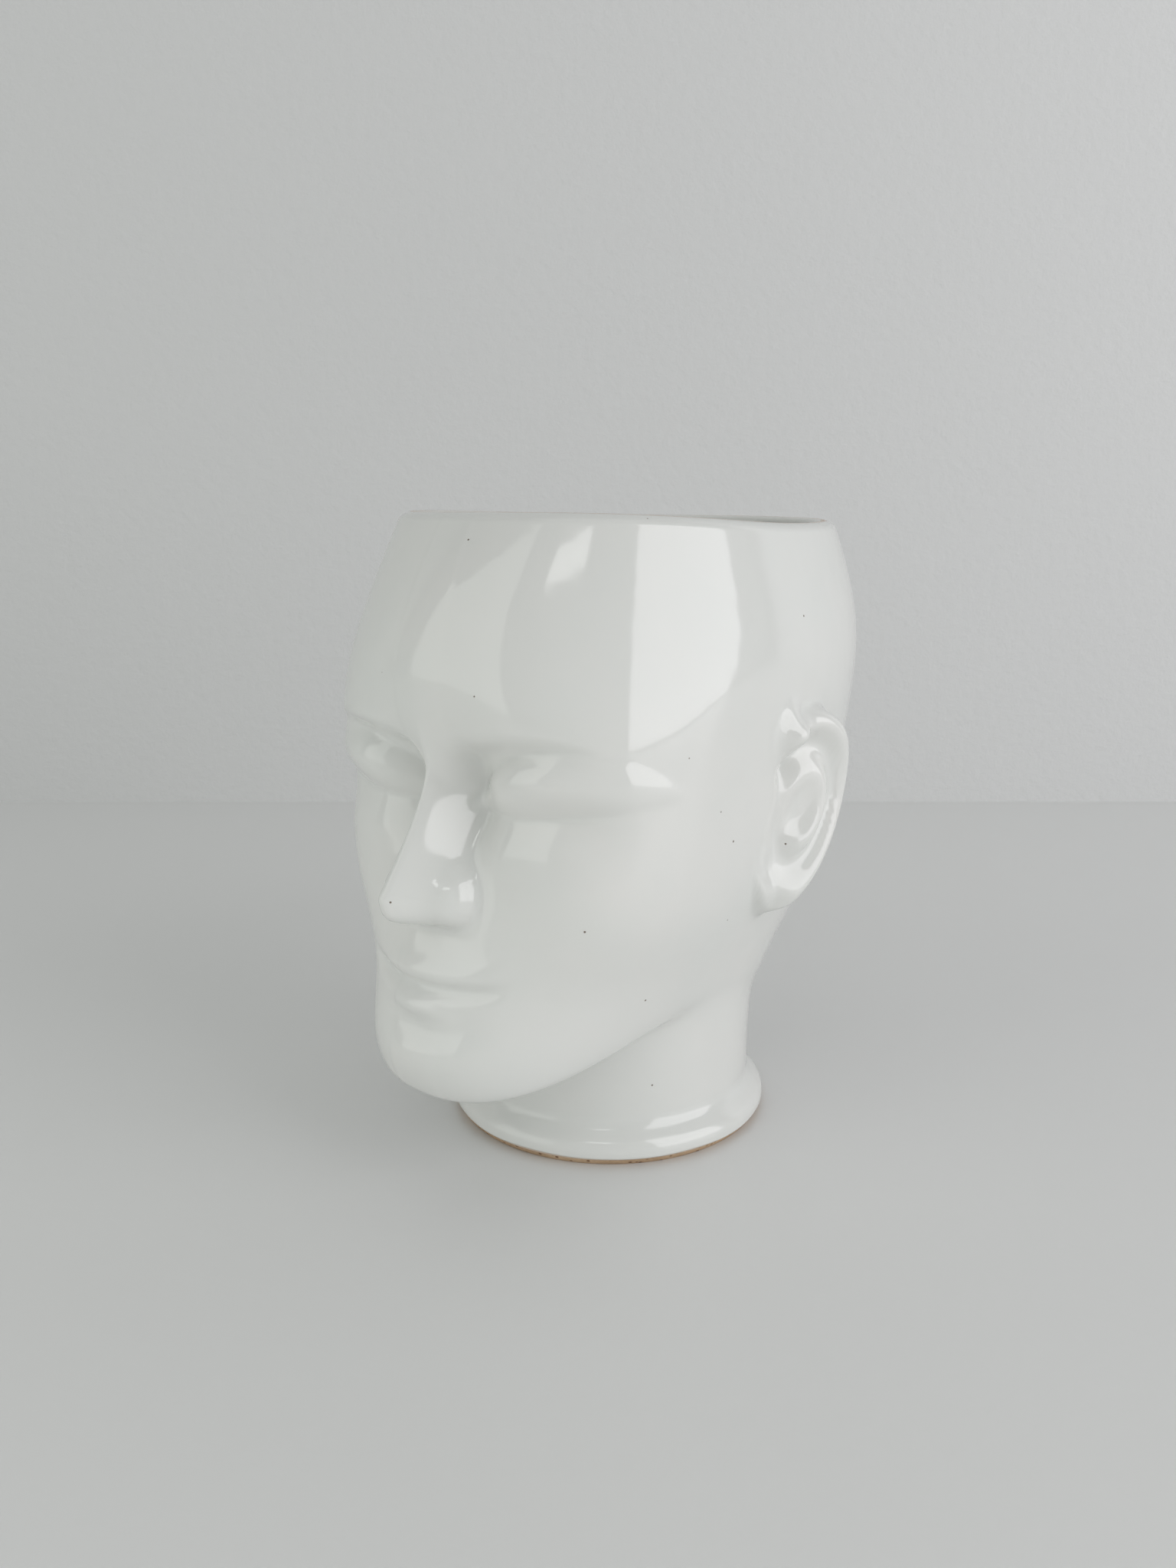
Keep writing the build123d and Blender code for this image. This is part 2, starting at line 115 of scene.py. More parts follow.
# Nose: a wedge with a hollow ridge, a sloping base and two wings
NOSE_REACH = 101.2
NASION_REACH = 82.4
NASION_RISE = 48.3
NOSE_TIP_RISE = 8.6
RIDGE_POWER = 1.8
RIDGE_ROUNDING = 0.8
TIP_ROUNDING = 1.6
NOSE_SPREAD = 0.44
NOSE_BASE_SLOPE = 0.12
NOSE_BASE_DROP = 3.4
NOSE_BASE_EDGE = 4.6
NOSE_BLEND = 2.6
NOSE_TOP_FADE = 8.0
NOSE_ROOT_SETBACK = 60.0
WING_CENTRE = (10.2, 79.0, 4.5)
WING_SIZE = (5.2, 8.8, 8.0)
WING_BLEND = 6.5

# Mouth line, with its corners raised by the smile
MOUTH_HALF_WIDTH = 27.0
MOUTH_SMILE = 2.2
SMILE_POWER = 4.0
MOUTH_DEPTH = 2.1
MOUTH_THICKNESS = 2.3
MOUTH_FADE = (0.6, 1.15)
# Mounds and hollows of the lower face: rise, half width, half height, height above the mouth line
UPPER_LIP = (1.6, 18.0, 4.0, 4.5)
LOWER_LIP = (2.8, 9.5, 3.8, -5.0)
LIP_HOLLOW = (-1.9, 11.5, 5.0, -12.0)
MUZZLE = (6.0, 25.0, 17.0, 4.0)
PHILTRUM = (-0.3, 4.5, 6.0, 10.0)
CHIN_BOSS = (3.0, 20.0, 12.0, -BOSS_TO_MOUTH)
FACE_FADE = (20.0, 50.0)

# Ears: a leaning plate with relief, measured back and up from the ear's centre
EAR_SETBACK = 6.0
EAR_BELOW_EYE = 9.2
EAR_HEIGHT = EYE_HEIGHT - EAR_BELOW_EYE
EAR_LENGTH = 64.0
EAR_WIDTH = 35.0
EAR_TILT = 14.0
EAR_TAPER = 0.25
EAR_STAND_OFF = 7.4
LOBE_STAND_OFF = 2.8
EAR_EDGE = (0.93, 1.09)
# Shares of the ear's half width or half length over which it leans out, hangs and folds
EAR_LEAN = (-0.75, 0.8)
LOBE_HANG = (-0.95, -0.4)
FOLD_SWEEP = (-0.7, 0.0)
# Rolled rim, groove inside it and inner fold: rise, distance in from the rim, half width
HELIX = (2.7, 2.8, 2.7)
SCAPHA = (-1.8, 7.2, 2.4)
INNER_FOLD = (1.9, 11.6, 2.7)
# Bowl, rim's root, pit below the root and lobe: rise, half width, half height, back, up
EAR_BOWL = (-1.9, 5.0, 10.0, -4.0, -5.0)
HELIX_ROOT = (4.8, 4.6, 6.5, -13.0, 23.0)
EAR_PIT = (-2.8, 3.2, 4.5, -9.5, 13.0)
EAR_LOBE = (1.8, 6.0, 6.0, -2.0, -25.0)

# Wall, glaze, lip and inside corner
WALL = 6.5
GLAZE = 0.5
GLAZE_STOP = 1.8
LIP_ROUNDING = 3.0
LIP_START = RIM_HEIGHT - LIP_ROUNDING
RIM_DROP = 3.4
RIM_HIGH_TURN = -50.0
# Waves of the hand-cut rim: waves in one turn, phase, rise
RIM_WAVES = ((2.0, 1.0, 0.45), (3.0, -0.7, 0.32))
FLOOR = 8.0
FLOOR_CORNER = 7.0
FLOOR_CORNER_HEIGHT = 16.0

# Rays and rings
CHIN_DIP = 22.0
DIP_FOCUS = 1.5
DIP_BELOW_CHIN = (FLOOR + 2.0 * GLAZE, (BOSS_HEIGHT + MOUTH_HEIGHT) / 2.0)
DIP_TO_CROWN = (MOUTH_HEIGHT, CROWN_HEIGHT)
RAY_START = 15.0
RAY_STEP = 4.0
RAY_STEPS = 28
HALVINGS = 20
SAMPLES_PER_RING = 12
TURN_WEIGHT = 5.0
LEVEL_EASE = 6.0
LIP_CROWDING = 2.0
PROFILE_TURNS = (0.0, 8.0, 16.0, 36.0, 100.0)
# Extra columns over the face and the ears: share, half angle in radians
FACE_COLUMNS = (1.6, 0.75)
EAR_COLUMNS = (1.2, 0.3)


def smooth_step(low, high, value):
    """0 at low, 1 at high, with an even S between."""
    t = np.clip((value - low) / (high - low), 0.0, 1.0)
    return t * t * t * (t * (6.0 * t - 15.0) + 10.0)


def smooth_max(a, b, blend):
    """The larger of two forms, rounded over about the blend where they meet."""
    return (a + b + np.sqrt((a - b) ** 2 + blend**2)) / 2.0


def smooth_min(a, b, blend):
    """The smaller of two forms, rounded over about the blend where they meet."""
    return -smooth_max(-a, -b, blend)


def bell(value, width):
    """1 at zero, falling away on both sides over the width."""
    return np.exp(-((value / width) ** 2))


def curve_through(stations, values, at):
    """Natural cubic spline through a few stations."""
    x = np.asarray(stations)
    y = np.asarray(values)
    h = np.diff(x)
    slopes = np.diff(y) / h
    inner = np.diag(2.0 * (h[:-1] + h[1:])) + np.diag(h[1:-1], 1) + np.diag(h[1:-1], -1)
    bend = np.concatenate([[0.0], np.linalg.solve(inner, 6.0 * np.diff(slopes)), [0.0]])
    i = np.clip(np.searchsorted(x, at) - 1, 0, len(h) - 1)
    left = (x[i + 1] - at) / h[i]
    right = 1.0 - left
    sag = (left**3 - left) * bend[i] + (right**3 - right) * bend[i + 1]
    return left * y[i] + right * y[i + 1] + sag * h[i] ** 2 / 6.0


STATIONS = (
    CHIN_HEIGHT - CHIN_TO_BOSS,
    BOSS_HEIGHT,
    MOUTH_HEIGHT,
    NOSE_HEIGHT,
    EYE_HEIGHT,
    BROW_HEIGHT,
    CROWN_HEIGHT,
    RIM_HEIGHT,
)
SECTIONS = (
    JAW_SECTION,
    BOSS_SECTION,
    MOUTH_SECTION,
    NOSE_SECTION,
    EYE_SECTION,
    BROW_SECTION,
    CROWN_SECTION,
    RIM_SECTION,
)


def skull_form(x, y, z):
    """Distance outside the plain skull, level by level, before the face is modelled."""
    half_width, front, back, front_power = (
        curve_through(STATIONS, column, z) for column in zip(*SECTIONS)
    )
    power = np.where(y < 0.0, front_power, BACK_POWER)
    reach = np.where(y < 0.0, front, back)
    away = np.hypot(x, y)
    across = np.abs(x) / away / half_width
    along = np.abs(y) / away / reach
    return away - (across**power + along**power) ** (-1.0 / power)


def neck_form(x, y, z):
    """Distance outside the round neck with its flared foot and rounded foot edge."""
    flare = 1.0 - smooth_step(FOOT_ROLL_HEIGHT, FOOT_FLARE_HEIGHT, z)
    tuck = FOOT_EDGE / 2.0 * np.clip(1.0 - z / FOOT_EDGE, 0.0, 1.0) ** 2
    return np.hypot(x, y) - NECK_RADIUS - (FOOT_RADIUS - NECK_RADIUS) * flare + tuck


def jaw_underside(y, z):
    """Distance below the jaw line, which rises from the chin and falls again behind its angle."""
    slope = np.radians(JAW_SLOPE)
    line = CHIN_HEIGHT + np.tan(slope) * (JAW_RUN - np.hypot(y, JAW_ANGLE_ROUNDING))
    return (line - z) * np.cos(slope)


def socket_relief(arc, z):
    """Hollow under the brow's arch that fades into the cheek, with a deeper one at the inner corner."""
    arch = BROW_ARCH * (1.0 - ((arc - BROW_OFFSET) / BROW_HALF_SPAN) ** 2)
    below = EYE_HEIGHT + arch - z
    deep = smooth_step(*SOCKET_BELOW_BROW, below) * (1.0 - smooth_step(*SOCKET_TO_CHEEK, below))
    across = smooth_step(*SOCKET_INNER, arc) * (1.0 - smooth_step(*SOCKET_OUTER, arc))
    depth, wide, tall, at_arc = INNER_CORNER
    corner = depth * bell(arc - at_arc, wide) * bell(z - EYE_HEIGHT, tall)
    return -SOCKET_DEPTH * deep * across - corner


def lid_relief(arc, z):
    """Closed lid: an almond lens between an upper and a lower arc."""
    along = arc - EYE_OFFSET
    t = along / (EYE_LENGTH / 2.0)
    up = z - EYE_HEIGHT - along * np.tan(np.radians(EYE_SLANT))
    opening = np.clip(1.0 - t**2, 0.0, 1.0) ** LID_FULLNESS
    top = LID_RISE * opening * (1.0 - LID_SKEW * t)
    bottom = -LID_DROP * opening * (1.0 + LID_SKEW * t)
    half = (top - bottom) / 2.0 + LID_EDGE
    q = np.clip((up - (top + bottom) / 2.0) / half, -2.0, 2.0)
    bulge = LID_BULGE * (1.0 - LID_OUTER_EASE * smooth_step(*LID_EASE_SPAN, t))
    lens = bulge * opening * (1.0 - q**2) - LID_EDGE / 2.0
    return smooth_max(lens, 0.0, LID_EDGE)


def nose_form(x, y, z):
    """Distance outside the nose, from its root inside the skull."""
    tip_z = NOSE_HEIGHT + NOSE_TIP_RISE
    nasion_z = NOSE_HEIGHT + NASION_RISE
    t = np.clip((nasion_z - z) / (nasion_z - tip_z), 0.0, 1.0)
    ridge = NASION_REACH + (NOSE_REACH - NASION_REACH) * t**RIDGE_POWER
    rounding = RIDGE_ROUNDING + TIP_ROUNDING * t**2
    half = np.hypot(x, rounding) - rounding
    wedge = (half - (y + ridge) * NOSE_SPREAD) / np.hypot(1.0, NOSE_SPREAD)
    offset, setback, rise = WING_CENTRE
    from_wing = np.stack([np.abs(x) - offset, y + setback, z - NOSE_HEIGHT - rise])
    size = np.reshape(WING_SIZE, (3,) + (1,) * np.ndim(z))
    near = np.linalg.norm(from_wing / size, axis=0)
    steep = np.linalg.norm(from_wing / size**2, axis=0)
    wing = near * (near - 1.0) / steep
    base = NOSE_HEIGHT - NOSE_BASE_DROP - NOSE_BASE_SLOPE * (y + setback) - z
    nose = smooth_max(smooth_min(wedge, wing, WING_BLEND), base, NOSE_BASE_EDGE)
    nose = smooth_max(nose, z - nasion_z - NOSE_TOP_FADE / 2.0, NOSE_TOP_FADE)
    return smooth_max(nose, y + NOSE_ROOT_SETBACK, NOSE_BLEND)


def mouth_relief(x, z):
    """Muzzle, lips, mouth line, chin boss and the hollow between lip and chin."""
    t = np.clip(np.abs(x) / MOUTH_HALF_WIDTH, 0.0, MOUTH_FADE[1])
    above = z - MOUTH_HEIGHT - MOUTH_SMILE * t**SMILE_POWER
    relief = -MOUTH_DEPTH * bell(above, MOUTH_THICKNESS) * (1.0 - smooth_step(*MOUTH_FADE, t))
    for rise, half_width, half_height, up in (UPPER_LIP, LOWER_LIP, LIP_HOLLOW):
        relief = relief + rise * bell(x, half_width) * bell(above - up, half_height)
    for rise, half_width, half_height, up in (MUZZLE, PHILTRUM, CHIN_BOSS):
        relief = relief + rise * bell(x, half_width) * bell(z - MOUTH_HEIGHT - up, half_height)
    return relief


def ear_relief(x, y, z):
    """Ear as a leaning plate with a rolled rim, an inner fold, a bowl, a root and a lobe."""
    tilt = np.radians(EAR_TILT)
    back = (y - EAR_SETBACK) * np.cos(tilt) - (z - EAR_HEIGHT) * np.sin(tilt)
    up = (z - EAR_HEIGHT) * np.cos(tilt) + (y - EAR_SETBACK) * np.sin(tilt)
    half_height = EAR_LENGTH / 2.0
    half_width = EAR_WIDTH / 2.0 * (1.0 + EAR_TAPER * np.clip(up / half_height, -1.0, 1.0))
    ring_share = np.hypot(back / half_width, up / half_height)
    within = 1.0 - smooth_step(*EAR_EDGE, ring_share)
    lean = EAR_STAND_OFF * smooth_step(*EAR_LEAN, back / half_width)
    hang = LOBE_STAND_OFF * (1.0 - smooth_step(*LOBE_HANG, up / half_height))
    swept = smooth_step(*FOLD_SWEEP, back / half_width + up / EAR_LENGTH)
    inward = (1.0 - ring_share) * half_width
    ridges = (HELIX, SCAPHA, INNER_FOLD)
    folds = sum(rise * bell(inward - depth, width) for rise, depth, width in ridges)
    mounds = 0.0
    for rise, wide, tall, at_back, at_up in (EAR_BOWL, HELIX_ROOT, EAR_PIT, EAR_LOBE):
        mounds = mounds + rise * bell(back - at_back, wide) * bell(up - at_up, tall)
    relief = within * (np.maximum(lean, hang) + folds * swept) + mounds
    return relief * smooth_step(*FACE_FADE, np.abs(x))


def outside_form(x, y, z):
    """Signed form of the glazed outside: negative inside the vase."""
    arc = EYE_ARC_RADIUS * np.abs(np.arctan2(x, -y))
    face = socket_relief(arc, z) + lid_relief(arc, z) + mouth_relief(x, z)
    relief = face * smooth_step(*FACE_FADE, -y) + ear_relief(x, y, z)
    skull = smooth_max(skull_form(x, y, z) - relief, jaw_underside(y, z), JAW_EDGE)
    head = smooth_min(skull, nose_form(x, y, z), NOSE_BLEND)
    return smooth_min(head, neck_form(x, y, z), NECK_BLEND)


def inside_form(x, y, z, coat=0.0):
    """Signed form of the cavity: plain skull with its sockets and plain neck, drawn in by the wall."""
    arc = EYE_ARC_RADIUS * np.abs(np.arctan2(x, -y))
    skull = skull_form(x, y, z) - socket_relief(arc, z) * smooth_step(*FACE_FADE, -y)
    skull = smooth_max(skull, jaw_underside(y, z), JAW_EDGE)
    sunk = np.clip(1.0 - (z - FLOOR - coat) / FLOOR_CORNER_HEIGHT, 0.0, 1.0)
    neck = np.hypot(x, y) - NECK_RADIUS + FLOOR_CORNER * sunk**3
    return smooth_min(skull, neck, NECK_BLEND) + WALL + coat


def rim_wave(turn):
    """Uneven hand-cut rim: tilted a little and slightly wavy."""
    drop = RIM_DROP * (np.cos(turn - np.radians(RIM_HIGH_TURN)) - 1.0) / 2.0
    return drop + sum(rise * np.sin(waves * turn + phase) for waves, phase, rise in RIM_WAVES)


def ring_points(form, levels, turns):
    """Where rays from the axis leave a form; rays over the chin dip, so they meet its underside too."""
    level, turn = np.meshgrid(levels, turns, indexing="ij")
    raised = smooth_step(*DIP_BELOW_CHIN, level) * (1.0 - smooth_step(*DIP_TO_CROWN, level))
    dip = np.radians(CHIN_DIP) * raised * ((1.0 + np.cos(turn)) / 2.0) ** DIP_FOCUS
    start = level + rim_wave(turn) * smooth_step(CROWN_HEIGHT, RIM_HEIGHT, level)

    def at(reach):
        flat = reach * np.cos(dip)
        return flat * np.sin(turn), -flat * np.cos(turn), start - reach * np.sin(dip)

    low = np.full(level.shape, RAY_START)
    out = np.zeros(level.shape, bool)
    for _ in range(RAY_STEPS):
        out |= form(*at(low + RAY_STEP)) > 0.0
        low = np.where(out, low, low + RAY_STEP)
    high = low + RAY_STEP
    for _ in range(HALVINGS):
        middle = (low + high) / 2.0
        within = form(*at(middle)) < 0.0
        low = np.where(within, middle, low)
        high = np.where(within, high, middle)
    return np.stack(at((low + high) / 2.0), axis=-1)


def under_coat(points, form):
    """Points on a form's surface moved in by the glaze's thickness, square to the surface."""
    probes = np.eye(3) * GLAZE
    outer = [form(*np.moveaxis(points + probe, -1, 0)) for probe in probes]
    inner = [form(*np.moveaxis(points - probe, -1, 0)) for probe in probes]
    slope = np.stack(outer, axis=-1) - np.stack(inner, axis=-1)
    return points - GLAZE * slope / np.linalg.norm(slope, axis=-1, keepdims=True)


def ring_levels(form, low, high, count):
    """Levels spaced evenly along the head's profiles, closer together where a profile turns."""
    fine = np.linspace(low, high, SAMPLES_PER_RING * count)
    profiles = ring_points(form, fine, np.radians(PROFILE_TURNS))
    step = np.diff(profiles, axis=0)
    length = np.linalg.norm(step, axis=-1)
    heading = step / length[..., None]
    turn = np.arccos(np.clip(np.sum(heading[1:] * heading[:-1], axis=-1), -1.0, 1.0))
    length[1:] += TURN_WEIGHT * turn
    middles = (fine[1:] + fine[:-1]) / 2.0
    share = bell(middles[:, None] - middles, LEVEL_EASE)
    density = share @ length.max(axis=1) / share.sum(axis=1)
    density = density * (1.0 + LIP_CROWDING * bell(high - middles, LEVEL_EASE))
    travelled = np.concatenate([[0.0], np.cumsum(density)])
    return np.interp(np.linspace(0.0, travelled[-1], count), travelled, fine)


def ring_turns(count):
    """Angles round the axis, closer together over the face and the ears than behind."""
    fine = np.linspace(-np.pi, np.pi, SAMPLES_PER_RING * count)
    ear = np.pi / 2.0 + EAR_SETBACK / EYE_SECTION[0]
    face_share, face_angle = FACE_COLUMNS
    ear_share, ear_angle = EAR_COLUMNS
    density = 1.0 + face_share * bell(fine, face_angle)
    density = density + ear_share * bell(np.abs(fine) - ear, ear_angle)
    travelled = np.cumsum(density)
    even = np.linspace(travelled[0], travelled[-1], count + 1)
    return np.interp(even, travelled, fine)[:-1]


def lip_rows(outer, inner, rounding, count):
    """Half ellipse over the lip, from the outer wall's last ring to the inner wall's."""
    middle = (outer[-1] + inner[-1]) / 2.0
    half = (outer[-1] - inner[-1]) / 2.0
    lean = outer[-1] - outer[-2]
    lean = lean / np.linalg.norm(lean, axis=-1, keepdims=True)
    swing = np.linspace(0.0, np.pi, 2 * count + 1)
    return np.array([middle + np.cos(a) * half + np.sin(a) * rounding * lean for a in swing])


def clay_outside(x, y, z):
    """The clay's outside lies a coat of glaze below the glazed outside."""
    return outside_form(x, y, z) + GLAZE


def glazed_inside(x, y, z):
    """The glazed cavity lies a coat of glaze inside the clay's cavity."""
    return inside_form(x, y, z, GLAZE)


def clay_cavity(x, y, z):
    """The cavity of the clay in the scene lies a coat behind the inside glaze's side on the clay."""
    return inside_form(x, y, z, -GLAZE)


# Rings of the finished skins
SKIN_COLUMNS = 340
OUTSIDE_ROWS = 190
BACKING_ROWS = 64
INNER_COLUMNS = 240
INNER_ROWS = 110
INNER_BACKING_ROWS = 40
CLAY_ROWS = 90
FOOT_ROWS = 8
LIP_ROWS = 12
FLOOR_ROWS = 16

# Lower edge of the outside glaze: a rounded bead that wanders a little
BEAD_HEIGHT = 1.1
BEAD_SPAN = 2.0 * BEAD_HEIGHT
BEAD_ROWS = 12
BEAD_WANDER = 0.35
# Waves of the wander in one turn: two slow ones that beat, the first with a phase, and a fine one
WANDER_WAVES = (3.0, 5.0, 11.0)
WANDER_PHASE = 0.4
FINE_WANDER_DIVISOR = 3.0
# Least share of the coat at its edge, and the shares of the bead and the lip over which it runs thin
LEAST_COVER = 0.06
BEAD_THIN = (0.2, 1.0)
OUTER_LIP_THIN = (0.5, 1.0)
INNER_LIP_THIN = (0.6, 1.0)
# The glaze's side on the clay and then the clay keep this much further back, so that neither shows
# through; they ease back over a distance from the glaze's edges
BACKING_SETBACK = 2.0
CLAY_SETBACK = 3.2
SETBACK_EASE = (BEAD_HEIGHT, 4.0 * BEAD_HEIGHT)
# Two levels that give the lip its lean
LIP_RUN_UP = 2.0
LIP_LEVELS = np.array([LIP_START - LIP_RUN_UP, LIP_START])
# Neighbours on each side that show whether a point lies in a hollow
HOLLOW_REACH = 2

# Points closer than this are sewn into one, in metres
SEAM = 0.000001


def deselect_all():
    """Nothing selected, so that the next operator works on what it adds."""
    bpy.ops.object.select_all(action="DESELECT")


def lay_rings(name, rows, thinness, hollows):
    """A grid laid along rows of rings and sewn up where its edges meet."""
    count, columns = rows.shape[:2]
    deselect_all()
    bpy.ops.mesh.primitive_grid_add(x_subdivisions=columns, y_subdivisions=count - 1, size=1.0)
    piece = bpy.context.active_object
    piece.name = name
    piece.data.name = name
    wrapped = np.concatenate([rows, rows[:, :1]], axis=1) / MM_PER_M
    piece.data.vertices.foreach_set("co", wrapped.ravel())
    for label, values in (("thin_glaze", thinness), ("hollow", hollows)):
        layer = piece.data.attributes.new(label, "FLOAT", "POINT")
        layer.data.foreach_set("value", np.concatenate([values, values[:, :1]], axis=1).ravel())
    piece.data.update()
    bpy.ops.object.mode_set(mode="EDIT")
    bpy.ops.mesh.select_all(action="SELECT")
    bpy.ops.mesh.remove_doubles(threshold=SEAM)
    bpy.ops.mesh.normals_make_consistent(inside=False)
    bpy.ops.object.mode_set(mode="OBJECT")
    bpy.ops.object.shade_smooth()
    return piece


def softened(rows, reach):
    """Each point's average over its neighbours, along the rows and round the rings."""
    soft = rows
    for axis, mode in ((0, "edge"), (1, "wrap")):
        pads = [(0, 0)] * soft.ndim
        pads[axis] = (reach, reach)
        padded = np.pad(soft, pads, mode=mode)
        length = soft.shape[axis]
        shifts = range(2 * reach + 1)
        soft = sum(np.take(padded, range(k, k + length), axis=axis) for k in shifts) / len(shifts)
    return soft


def hollowness(rows, form):
    """How far each point lies in a hollow (above 0) or on an edge (below 0), in millimetres."""
    inward = under_coat(rows, form) - rows
    inward = inward / np.linalg.norm(inward, axis=-1, keepdims=True)
    return -np.sum((softened(rows, HOLLOW_REACH) - rows) * inward, axis=-1)


def bead_cover(height, turns):
    """Share of the coat's thickness above the foot, rounded off to nothing at the wandering edge."""
    slow, beat, fine = (waves * turns for waves in WANDER_WAVES)
    swing = np.sin(slow + WANDER_PHASE) * np.sin(beat)
    wander = BEAD_WANDER * (1.0 + swing + np.sin(fine) / FINE_WANDER_DIVISOR)
    share = np.clip((height - GLAZE_STOP - np.maximum(wander, 0.0)) / BEAD_HEIGHT, 0.0, 1.0)
    return np.sqrt(1.0 - (1.0 - share) ** 2)


def eased_back(levels):
    """Share of the setback of a hidden side at each level: none at the bead, all a little above."""
    near, far = SETBACK_EASE
    return smooth_step(GLAZE_STOP + near, GLAZE_STOP + far, levels)


def outside_glaze():
    """The white glaze outside, from its bead above the foot to the lip, with its side on the clay."""
    turns = ring_turns(SKIN_COLUMNS)
    levels = ring_levels(outside_form, GLAZE_STOP, LIP_START, OUTSIDE_ROWS)
    bead = GLAZE_STOP + np.linspace(0.0, BEAD_SPAN, BEAD_ROWS)
    levels = np.concatenate([bead, levels[levels >= GLAZE_STOP + BEAD_SPAN]])
    face = ring_points(outside_form, levels, turns)
    inner = ring_points(glazed_inside, LIP_LEVELS, turns)
    lip = lip_rows(face, inner, LIP_ROUNDING, LIP_ROWS)[1 : LIP_ROWS + 1]
    cover = bead_cover(face[..., 2], turns)
    clay_rows = under_coat(face, outside_form)
    skin_rows = clay_rows + (face - clay_rows) * np.maximum(cover, LEAST_COVER)[..., None]
    clay_inner = ring_points(inside_form, LIP_LEVELS, turns)
    clay_lip = lip_rows(clay_rows, clay_inner, LIP_ROUNDING - GLAZE, LIP_ROWS)[1 : LIP_ROWS + 1]
    near, far = SETBACK_EASE
    kept_back = eased_back(levels) * (1.0 - smooth_step(LIP_START - far, LIP_START - near, levels))
    deeper = clay_rows + (clay_rows - face) * (BACKING_SETBACK / GLAZE * kept_back)[:, None, None]
    back = np.concatenate([deeper, clay_lip])
    picks = np.unique(np.linspace(0, len(back) - 1, BACKING_ROWS).astype(int))
    back = back[picks][::-1]
    rows = np.concatenate([skin_rows, lip, back, skin_rows[:1]])
    crown = np.linspace(0.0, 1.0, LIP_ROWS + 1)[1:]
    thin = np.zeros(rows.shape[:2])
    thin[: len(skin_rows)] = 1.0 - smooth_step(*BEAD_THIN, cover)
    thin[len(skin_rows) : len(skin_rows) + LIP_ROWS] = smooth_step(*OUTER_LIP_THIN, crown)[:, None]
    thin[len(skin_rows) + LIP_ROWS :] = 1.0
    hollows = np.zeros(rows.shape[:2])
    hollows[: len(skin_rows)] = hollowness(skin_rows, outside_form)
    return lay_rings("outside_glaze", rows, thin, hollows)


def disc_rows(edge):
    """Rows that close a level ring, from its middle out to the ring."""
    middle = np.array([0.0, 0.0, edge[0, 2]])
    shares = np.linspace(0.0, 1.0, FLOOR_ROWS)[:-1]
    return np.array([middle + (edge - middle) * share for share in shares])


def clay_core():
    """The clay: bare at the foot's edge and underside, and covered by glaze everywhere else."""
    turns = ring_turns(INNER_COLUMNS)
    foot = ring_points(clay_outside, np.linspace(0.0, GLAZE_STOP, FOOT_ROWS), turns)
    levels = ring_levels(outside_form, GLAZE_STOP, LIP_START, CLAY_ROWS)[1:]
    skin_rows = ring_points(outside_form, levels, turns)
    coats_in = 1.0 + CLAY_SETBACK / GLAZE * eased_back(levels)[:, None, None]
    outer = skin_rows + (under_coat(skin_rows, outside_form) - skin_rows) * coats_in
    inner_levels = ring_levels(inside_form, FLOOR - GLAZE, LIP_START, CLAY_ROWS // 2)
    inner = ring_points(clay_cavity, inner_levels, turns)
    lip = lip_rows(outer, inner, LIP_ROUNDING - 2.0 * GLAZE, LIP_ROWS)[1:-1]
    floor = disc_rows(inner[0])[::-1]
    rows = np.concatenate([disc_rows(foot[0]), foot, outer, lip, inner[::-1], floor])
    blank = np.zeros(rows.shape[:2])
    return lay_rings("clay_core", rows, blank, blank)


def inside_glaze():
    """The white glaze inside, from the lip down over the floor, with its side on the clay."""
    turns = ring_turns(INNER_COLUMNS)
    levels = ring_levels(inside_form, FLOOR, LIP_START, INNER_ROWS)
    coat_levels = np.interp(levels, [FLOOR, LIP_START], [FLOOR + GLAZE, LIP_START])
    coat = ring_points(glazed_inside, coat_levels, turns)
    backing = ring_points(inside_form, levels[:: len(levels) // INNER_BACKING_ROWS], turns)
    clay_top = ring_points(inside_form, LIP_LEVELS, turns)
    skin_top = ring_points(outside_form, LIP_LEVELS, turns)
    clay_skin = under_coat(skin_top, outside_form)
    lip = lip_rows(skin_top, coat, LIP_ROUNDING, LIP_ROWS)[LIP_ROWS:-1]
    clay_lip = lip_rows(clay_skin, clay_top, LIP_ROUNDING - GLAZE, LIP_ROWS)[LIP_ROWS:-1]
    coat_side = np.concatenate([disc_rows(coat[0]), coat, lip[::-1]])
    clay_side = np.concatenate([disc_rows(backing[0]), backing, clay_lip[::-1]])
    rows = np.concatenate([coat_side, clay_side[::-1]])
    thin = np.zeros(rows.shape[:2])
    crown = np.linspace(0.0, 1.0, LIP_ROWS)
    thin[len(coat_side) - LIP_ROWS : len(coat_side)] = smooth_step(*INNER_LIP_THIN, crown)[:, None]
    return lay_rings("inside_glaze", rows, thin, np.zeros(rows.shape[:2]))


# Socket numbers of a mix node: the two sides and result of a colour mix, then those of a value mix
COLOUR_SIDES = (6, 7)
COLOUR_RESULT = 2
VALUE_SIDES = (2, 3)

# Effects: edge of a pinhole as shares of its size, and the share of fine ripple in an uneven coat
PINHOLE_EDGE = [(0.55, 1.0), (1.0, 0.0)]
RIPPLE_SHARE = 0.25

